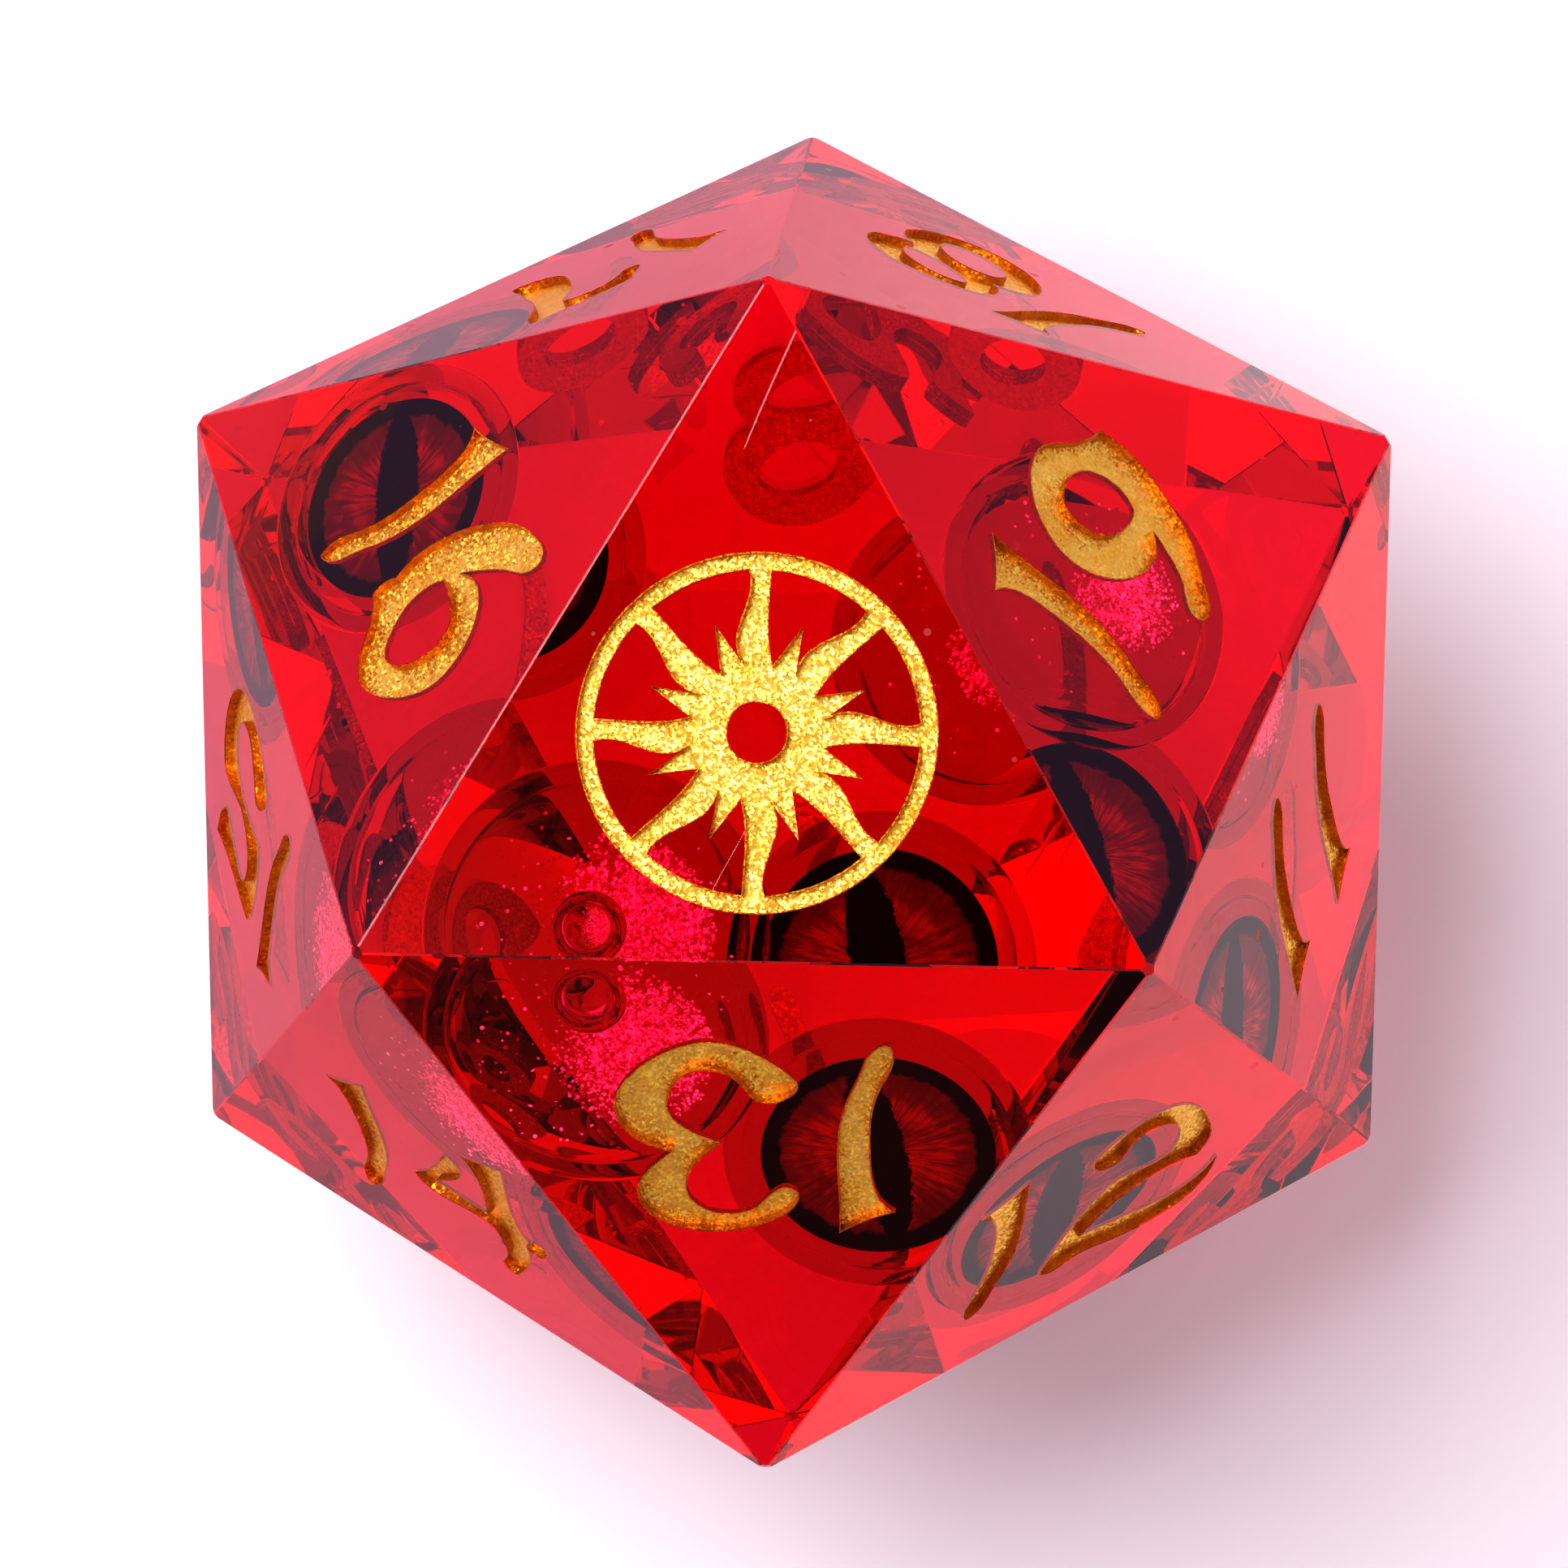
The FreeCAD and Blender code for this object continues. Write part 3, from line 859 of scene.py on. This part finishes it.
@dataclass
class Casting:
    """The resin body with its recesses, and a smooth seat round every ball."""

    balls: list[BallPlace]
    finish: CastResin = field(default_factory=CastResin)
    seat_tolerance: float = 0.05 * MM

    def outer_skin(self) -> Surface:
        """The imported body's skin without its faceted seats."""
        points, tris = merged_triangles(FRAME["nodes"]["resin_body"])
        keep = np.ones(len(tris), bool)
        for place in self.balls:
            near = np.linalg.norm(points - place.centre, axis=1) < place.outer + self.seat_tolerance
            keep &= ~near[tris].all(axis=1)
        return Surface(points, tris=tris[keep])

    def build(self) -> bpy.types.Object:
        """Builds the piece and gives each part of it its index ratio.

        Returns:
            The casting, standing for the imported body.
        """
        whole = self.outer_skin()
        skin_points, skin_tris = len(whole.points), len(whole.tris)
        for place in self.balls:
            whole = whole.joined(ball(place.outer, 96, 192).turned().moved(place.centre))
        made = make_object("resin_casting", whole, smooth=False)
        mesh = made.data
        ratios = np.full(len(whole.points), RESIN_IOR / SHELL_IOR, np.float32)
        ratios[:skin_points] = RESIN_IOR
        skin = (np.arange(len(whole.points)) < skin_points).astype(np.float32)
        point_values(mesh, self.finish.index_attribute, ratios)
        point_values(mesh, self.finish.skin_attribute, skin)
        smooth = np.ones(len(mesh.polygons), bool)
        smooth[len(whole.quads) : len(whole.quads) + skin_tris] = False
        mesh.polygons.foreach_set("use_smooth", smooth)
        mesh.materials.append(self.finish.material())
        return stand_for(made, ["resin_body"], DIE_BODY)


@dataclass
class PaintFill:
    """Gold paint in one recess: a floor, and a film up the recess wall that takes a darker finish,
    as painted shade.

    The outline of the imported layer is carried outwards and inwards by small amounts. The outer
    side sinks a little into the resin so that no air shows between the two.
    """

    node: str
    die_centre: np.ndarray
    half_height: float
    floor_paint: bpy.types.Material
    shaded_wall_paint: bpy.types.Material
    sunk: float = 0.02 * MM
    film: float = 0.045 * MM
    rim_below: float = 0.035 * MM

    def build(self) -> bpy.types.Object:
        """Builds the tray.

        Returns:
            The piece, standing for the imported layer.
        """
        points, tris = merged_triangles(FRAME["nodes"][self.node])
        normals, areas = triangle_normals(points, tris)
        out = normals[areas.argmax()]
        if out @ (points.mean(axis=0) - self.die_centre) < 0:
            out = -out
        cap = tris[normals @ out > 0.999]
        used, cap = np.unique(cap, return_inverse=True)
        cap = cap.reshape(-1, 3)
        outline = points[used]
        floor_level = (points @ out).min()
        top_level = (outline @ out).max()
        rim_level = self.die_centre @ out + self.half_height - self.rim_below
        aside, edges = self.sideways(outline, cap, out)
        flat = outline - (outline @ out)[:, None] * out
        levels = (
            flat + aside * self.sunk + out * (floor_level - self.sunk),
            flat + aside * self.sunk + out * rim_level,
            flat - aside * self.film + out * rim_level,
            flat - aside * self.film + out * top_level,
        )
        count, walls = len(outline), len(levels) - 1
        strip = np.hstack([edges, edges[:, ::-1] + count])
        steps = np.arange(walls)[:, None, None] * count
        surface = Surface(
            np.vstack(levels),
            (strip[None] + steps).reshape(-1, 4),
            np.vstack([cap[:, ::-1], cap + walls * count]),
        )
        made = make_object(f"gold_{self.node.removeprefix('paint_')}", surface)
        made.data.set_sharp_from_angle(angle=math.radians(35))
        made.data.materials.append(self.floor_paint)
        made.data.materials.append(self.shaded_wall_paint)
        slots = np.zeros(len(made.data.polygons), np.int32)
        # The walls take the second, darker finish: painted shade.
        slots[: walls * len(edges)] = 1
        made.data.polygons.foreach_set("material_index", slots)
        return stand_for(made, [self.node], DIE_BODY)

    @staticmethod
    def sideways(
        outline: np.ndarray, cap: np.ndarray, out: np.ndarray
    ) -> tuple[np.ndarray, np.ndarray]:
        """How each outline point moves when the outline grows by one unit.

        An edge that only one triangle uses is on the outline, and runs with the material on its
        left. A point moves along the sum of its two edges' outward normals, divided by one plus
        their cosine, so that both edges move by one unit.

        Args:
            outline: The flat cap's points.
            cap: Its triangles, facing out.
            out: The side's outward direction.

        Returns:
            The movement of each point, and the outline's edges as pairs of points.
        """
        edges = np.vstack([cap[:, [0, 1]], cap[:, [1, 2]], cap[:, [2, 0]]])
        size = len(outline)
        keys = edges[:, 0] * size + edges[:, 1]
        back = edges[:, 1] * size + edges[:, 0]
        edges = edges[~np.isin(keys, back)]
        along = outline[edges[:, 1]] - outline[edges[:, 0]]
        along /= np.linalg.norm(along, axis=1)[:, None]
        normals = np.cross(along, out)
        leaving, arriving = np.zeros((size, 3)), np.zeros((size, 3))
        leaving[edges[:, 0]] = normals
        arriving[edges[:, 1]] = normals
        cosine = (leaving * arriving).sum(axis=1)
        return (leaving + arriving) / np.maximum(1 + cosine, 0.5)[:, None], edges


@dataclass
class BallShell:
    """A ball's moulded shell as one clear wall with a faint seam bead inside."""

    place: BallPlace
    matched: bpy.types.Material
    inner_wall: bpy.types.Material
    inset: float = 0.015 * MM
    bead: float = 0.03 * MM
    bead_width: float = 3.0
    steps: int = 160

    def build(self) -> bpy.types.Object:
        """Builds the shell: an outer ball, and an inner one whose radius dips at its equator.

        Returns:
            The piece, standing for the half shells and the plug.
        """
        place = self.place
        angle = np.radians(np.linspace(0, 180, 193))
        latitude = np.degrees(angle) - 90
        radius = place.inner - self.bead * np.exp(-((latitude / self.bead_width) ** 2))
        profile = np.stack([radius * np.sin(angle), -radius * np.cos(angle)], axis=1)
        profile[[0, -1], 0] = 0.0
        inside = revolved(profile, self.steps).turned().moved(place.centre)
        outside = ball(place.outer - self.inset, 96, self.steps).moved(place.centre)
        finishes = (self.matched, self.inner_wall)
        made = two_walls(f"{place.prefix}_shell", outside, inside, finishes)
        parts = [f"{place.prefix}_{part}" for part in ("shell_upper", "shell_lower", "plug")]
        return stand_for(made, parts, DIE_BODY)


@dataclass
class CapsuleFilling:
    """A liquid capsule's contents: liquid with a bubble at its top, and settled glitter."""

    place: BallPlace
    flakes: int
    loose: int
    lean: tuple[float, float]
    bed_spread: float
    seed: int
    matched: bpy.types.Material
    bubble_wall: bpy.types.Material
    film: bpy.types.Material
    bed_depth: float = 1.1 * MM
    flake_size: float = 0.1 * MM
    flake_half_thickness: float = 0.012 * MM
    wall_gap: float = 0.2 * MM
    bubble_sunk: float = 0.75
    bubble_flat: float = 0.8
    bubble_below_top: float = 0.06 * MM

    def bubble_radius(self) -> float:
        """The bubble's radius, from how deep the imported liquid's hollow is.

        The hollow's lowest point is one radius and its sunk share below the liquid's top.
        """
        points, _ = merged_triangles(FRAME["nodes"][f"{self.place.prefix}_liquid"])
        reach = np.linalg.norm(points - self.place.centre, axis=1)
        return float((reach.max() - reach.min()) / (1 + self.bubble_sunk))

    def liquid(self) -> bpy.types.Object:
        """The liquid: a ball that is matched to its shell, and a bubble that is not."""
        reach = self.place.inner - LIQUID_GAP
        bubble = self.bubble_radius()
        top = bubble * self.bubble_flat
        angle = np.radians(np.linspace(0, 180, 65))
        height = np.minimum(-bubble * np.cos(angle), top)
        profile = np.stack([bubble * np.sin(angle), height], axis=1)
        profile[[0, -1], 0] = 0.0
        lift = np.array([0, 0, reach - top - self.bubble_below_top])
        hollow = revolved(profile, 96).turned().moved(lift).moved(self.place.centre)
        outside = ball(reach).moved(self.place.centre)
        name = f"{self.place.prefix}_liquid"
        made = two_walls(f"{name}_filling", outside, hollow, (self.matched, self.bubble_wall))
        return stand_for(made, [name], f"{self.place.prefix}_fill")

    def glitter(self) -> bpy.types.Object:
        """The flakes: thin six-sided plates, most in the settled bed and some floating.

        A settled flake's place across the ball is normally spread about the bed's middle, and
        its height is the wall's height there, plus a random share of the bed's depth that
        shrinks away from the middle.
        """
        rng = np.random.default_rng(self.seed)
        spread = self.bed_spread
        reach = self.place.inner - self.wall_gap
        across = rng.normal(scale=spread, size=(self.flakes * 2, 2))
        away = np.linalg.norm(across, axis=1)
        across = across + np.array(self.lean)
        kept = (np.hypot(across[:, 0], across[:, 1]) < reach * 0.8) & (away < spread * 2.2)
        across, away = across[kept][: self.flakes], away[kept][: self.flakes]
        depth = self.bed_depth * np.exp(-((away / spread) ** 2) / 2)
        wall = -np.sqrt(reach**2 - (across**2).sum(axis=1))
        places = np.column_stack([across, wall + depth * rng.random(len(across))])
        drift = rng.normal(size=(self.loose, 3))
        far = reach * 0.97 * rng.random(self.loose) ** 0.33
        drift *= (far / np.linalg.norm(drift, axis=1))[:, None]
        drift[:, 2] = -np.abs(drift[:, 2])
        places = np.vstack([places, drift])
        plates = self.plates(rng, places).moved(self.place.centre)
        made = make_object(f"{self.place.prefix}_glitter_flakes", plates, smooth=False)
        tones = np.repeat(rng.random(len(places)), 12).astype(np.float32)
        point_values(made.data, "tone", tones)
        made.data.materials.append(self.film)
        prefix = self.place.prefix
        return stand_for(made, [f"{prefix}_glitter"], f"{prefix}_glitter_bed")

    def plates(self, rng: np.random.Generator, places: np.ndarray) -> Surface:
        """Six-sided plates, leaning at random from level.

        A corner is the middle plus the size times (cos t side + sin t other), a little above
        or below the plate's plane, with side and other at right angles in that plane.

        Args:
            rng: The source of the leans, turns and sizes, in that order.
            places: The plates' middles.

        Returns:
            The plates, each with twelve points and ten quads.
        """
        count = len(places)
        tilt = rng.normal(scale=0.5, size=(count, 3)) + [0, 0, 1]
        tilt /= np.linalg.norm(tilt, axis=1)[:, None]
        side = np.cross(tilt, rng.normal(size=(count, 3)))
        side /= np.linalg.norm(side, axis=1)[:, None]
        other = np.cross(tilt, side)
        size = self.flake_size * rng.uniform(0.5, 1.25, count)
        turn = (np.arange(6) * np.pi / 3)[None, :, None]
        ring = np.cos(turn) * side[:, None] + np.sin(turn) * other[:, None]
        ring = places[:, None] + ring * size[:, None, None]
        thick = tilt[:, None] * self.flake_half_thickness
        points = np.concatenate([ring - thick, ring + thick], axis=1).reshape(-1, 3)
        first = np.arange(count)[:, None, None] * 12
        low = np.arange(6)
        after = (low + 1) % 6
        walls = np.stack([low, after, after + 6, low + 6], axis=1)
        lids = np.array([[6, 7, 8, 9], [6, 9, 10, 11], [3, 2, 1, 0], [5, 4, 3, 0]])
        return Surface(points, (first + np.vstack([walls, lids])[None]).reshape(-1, 4))


@dataclass
class EyeFilling:
    """An eye ball's contents: liquid, and an eye of lens, printed disc and dark backing."""

    place: BallPlace
    slit_turn: float
    seed: float
    matched: bpy.types.Material
    lens_clear: bpy.types.Material
    backing: bpy.types.Material
    disc_inset: float = 0.03 * MM
    disc_into_lens: float = 0.02 * MM
    disc_lip: float = 0.05 * MM

    def liquid(self) -> bpy.types.Object:
        """The liquid, matched to its shell all round."""
        name = f"{self.place.prefix}_liquid"
        reach = self.place.inner - LIQUID_GAP
        made = make_object(f"{name}_filling", ball(reach, 48, 96).moved(self.place.centre))
        made.data.materials.append(self.matched)
        return stand_for(made, [name], f"{self.place.prefix}_fill")

    def disc_profile(self, base: float, low: float, high: float, lip: float) -> np.ndarray:
        """A flat disc's profile with a rounded edge."""
        turn = np.radians(np.linspace(-90, 90, 9))
        middle, half = (low + high) / 2, (high - low) / 2
        edge = np.stack([base - lip + lip * np.cos(turn), middle + half * np.sin(turn)], axis=1)
        return np.vstack([[0.0, low], edge, [0.0, high]])

    def build(self) -> list[bpy.types.Object]:
        """Builds the lens, the printed disc and the backing.

        Returns:
            The three pieces.
        """
        prefix, centre = self.place.prefix, self.place.centre
        lens_low, lens_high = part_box(f"{prefix}_lens")
        iris_low, iris_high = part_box(f"{prefix}_iris")
        back_low, back_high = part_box(f"{prefix}_weight")
        base = (iris_high.x - iris_low.x) / 2
        level = np.array([centre[0], centre[1], 0.0])
        lens = self.dome(base, lens_low.z, lens_high.z)
        back = self.dome(base, back_high.z, back_low.z).turned()
        base_in, top = base - self.disc_inset, iris_high.z + self.disc_into_lens
        disc = revolved(self.disc_profile(base_in, iris_low.z, top, self.disc_lip), 128)
        at = (float(centre[0]), float(centre[1]), iris_high.z)
        print_finish = PrintedIris(f"{prefix}_print", at, base, self.slit_turn, self.seed)
        made = []
        for part, surface, material, slot in (
            ("lens", lens, self.lens_clear, "clear_lens"),
            ("iris", disc, print_finish.material(), "printed_iris"),
            ("weight", back, self.backing, "dark_weight"),
        ):
            piece = make_object(f"{prefix}_{part}_turned", surface.moved(level))
            piece.data.set_sharp_from_angle(angle=math.radians(40))
            piece.data.materials.append(material)
            made.append(stand_for(piece, [f"{prefix}_{part}"], f"{prefix}_float"))
        return made

    @staticmethod
    def dome(base: float, flat: float, peak: float) -> Surface:
        """A shallow dome on a flat round base.

        Its curve is the arc of the circle through the base's edge and the peak, so the radius
        is the base squared plus the height squared, over twice the height.

        Args:
            base: The base's radius.
            flat: The base's height.
            peak: The height of the middle, which may be below the base.

        Returns:
            The dome, with its base's middle and its peak closed. One that hangs down faces in.
        """
        height = peak - flat
        radius = (base**2 + height**2) / (2 * abs(height))
        widest = math.asin(min(base / radius, 1.0))
        angle = np.linspace(widest, 0.0, 49)
        rise = math.copysign(1.0, height) * (radius * np.cos(angle) - radius + abs(height))
        curve = np.stack([radius * np.sin(angle), flat + rise], axis=1)
        curve[-1, 0] = 0.0
        return revolved(np.vstack([[0.0, flat], curve]), 128)


# --- Studio -------------------------------------------------------------------------------


@dataclass
class Studio:
    """The pale table, the soft light and the camera."""

    centre: Vector
    table_radius: float = 0.7
    table_gap: float = 0.02 * MM
    surround: float = 0.51
    inner_light: float = 1.55
    backdrop: Colour = (1.3, 1.22, 1.28)
    tent: Colour = (1.0, 0.96, 0.985)
    horizon: Colour = (0.74, 0.62, 1.0)
    front: Colour = (0.24, 0.19, 0.21)
    roof: Colour = (0.03, 0.025, 0.03)
    roof_at: Vector = field(default_factory=lambda: Vector((0.06, 0.16, 1.0)))
    lamp_at: Vector = field(default_factory=lambda: Vector((-0.32, 0.2, 0.64)))
    lamp_size: float = 0.6
    lamp_power: float = 3.9
    eye: Vector = field(default_factory=lambda: Vector((0.01805, -0.02656, 0.3436)))
    ahead: Vector = field(default_factory=lambda: Vector((-0.0577, 0.0835, -0.9948)))
    upward: Vector = field(default_factory=lambda: Vector((-0.0196, 0.9962, 0.0848)))
    lens: float = 146.0

    def table(self) -> None:
        """A wide flat round sheet, its rings' radii growing by an even factor."""
        reach = np.concatenate([[0.0], np.geomspace(0.02, self.table_radius, 24)])
        level = np.full_like(reach, -self.table_gap)
        sheet = revolved(np.stack([reach, level], axis=1), 96).turned()
        made = make_object("table_top", sheet)
        made.data.materials.append(TableTop().material())

    def world(self) -> None:
        """A bright tent: dimmer low down, dark in front and right above, plain to the camera.

        It is stronger for light that has passed into the die, which keeps the inside bright.
        """
        world = bpy.data.worlds.new("soft_surround")
        bpy.context.scene.world = world
        world.use_nodes = True
        background = world.node_tree.nodes["Background"].inputs
        board = Board(world.node_tree)
        place = board.add("ShaderNodeTexCoord").outputs["Generated"]
        _, along, up = board.parts(place)
        above = board.add("ShaderNodeVectorMath", operation="DOT_PRODUCT")
        board.join(place, above.inputs[0])
        above.inputs[1].default_value = self.roof_at.normalized()
        rim = board.mix(board.fade(along, -0.45, -0.9), self.horizon, self.front)
        low = board.mix(board.fade(up, 0.16, 0.4), rim, self.tent)
        overhead = board.fade(above.outputs["Value"], 0.972, 0.9888)
        path = board.add("ShaderNodeLightPath").outputs
        around = board.mix(overhead, low, self.roof)
        board.join(board.mix(path["Is Camera Ray"], around, self.backdrop), background["Color"])
        lift = board.maths("MULTIPLY_ADD", path["Is Transmission Ray"], self.inner_light, 1.0)
        board.join(board.times(lift, self.surround), background["Strength"])

    def lamp(self) -> None:
        """One large soft light from the upper left."""
        lamp = bpy.data.lights.new("soft_box", "AREA")
        lamp.shape = "DISK"
        lamp.size = self.lamp_size
        lamp.energy = self.lamp_power
        made = bpy.data.objects.new("soft_box", lamp)
        bpy.context.scene.collection.objects.link(made)
        made.location = self.centre + self.lamp_at
        made.rotation_euler = (self.centre - made.location).to_track_quat("-Z", "Y").to_euler()

    def camera(self) -> None:
        """A long lens nearly overhead, leaning a little to the lower right."""
        data = bpy.data.cameras.new("camera")
        made = bpy.data.objects.new("camera", data)
        bpy.context.scene.collection.objects.link(made)
        data.sensor_width = 36.0
        data.lens = self.lens
        data.clip_start, data.clip_end = 0.01, 20.0
        ahead = self.ahead.normalized()
        right = ahead.cross(self.upward).normalized()
        up = right.cross(ahead)
        turn = Matrix((right, up, -ahead)).transposed()
        made.matrix_world = Matrix.Translation(self.eye) @ turn.to_4x4()
        bpy.context.scene.camera = made

    def settings(self) -> None:
        """Plain colours, and enough bounces for light that is trapped between flat sides."""
        scene = bpy.context.scene
        scene.view_settings.view_transform = "Standard"
        scene.view_settings.look = "High Contrast"
        scene.cycles.max_bounces = 40
        scene.cycles.transmission_bounces = 40
        scene.cycles.glossy_bounces = 16
        scene.cycles.transparent_max_bounces = 16


def report(piece: bpy.types.Object) -> None:
    """Logs one finished piece."""
    LOG.info("%s: %d faces", piece.name, len(piece.data.polygons))


def main() -> None:
    """Builds every piece in order, dresses it, and sets up the studio."""
    low, high = CAD_BOX
    height = high.z - low.z
    centre = np.array([(low.x + high.x) / 2, (low.y + high.y) / 2, height / 2])
    places = {p: BallPlace.read(p) for p in ("capsule_a", "capsule_b", "eye_a", "eye_b")}
    report(Casting(list(places.values())).build())
    gold = GoldPaint("gold_paint", (1.0, 0.7, 0.17), (0.9, 0.44, 0.04)).material()
    # The recess walls get a darker, more orange copy of the gold: painted shade.
    shaded_wall_gold = GoldPaint("gold_paint_shaded_walls", (0.8, 0.32, 0.02), (0.4, 0.1, 0.004)).material()
    for node in sorted(name for name in FRAME["nodes"] if name.startswith("paint_")):
        report(PaintFill(node, centre, height / 2, gold, shaded_wall_gold).build())
    matched = ClearFinish("matched_clear", MATCHED_IOR).material()
    inner_wall = ClearFinish("shell_inner_wall", SHELL_IOR / LIQUID_IOR).material()
    bubble_wall = ClearFinish("bubble_wall", LIQUID_IOR).material()
    lens_clear = ClearFinish("eye_lens", SHELL_IOR / LIQUID_IOR).material()
    film = GlitterFilm("pink_glitter_film").material()
    backing = DarkWeight().material()
    for place in places.values():
        report(BallShell(place, matched, inner_wall).build())
    for name, flakes, loose, lean, spread, seed in (
        ("capsule_a", 5600, 260, (2.2 * MM, 1.0 * MM), 2.2 * MM, 11),
        ("capsule_b", 3000, 160, (1.0 * MM, 0.3 * MM), 1.5 * MM, 23),
    ):
        filling = CapsuleFilling(
            places[name], flakes, loose, lean, spread, seed, matched, bubble_wall, film
        )
        report(filling.liquid())
        report(filling.glitter())
    for name, slit, seed in (("eye_a", math.radians(12), 1.3), ("eye_b", math.radians(6), 4.1)):
        eye = EyeFilling(places[name], slit, seed, matched, lens_clear, backing)
        report(eye.liquid())
        for piece in eye.build():
            report(piece)
    studio = Studio(Vector(centre))
    studio.table()
    studio.world()
    studio.lamp()
    studio.camera()
    studio.settings()


if __name__ == "__main__":
    logging.basicConfig(level=logging.INFO, format="%(message)s")
    main()
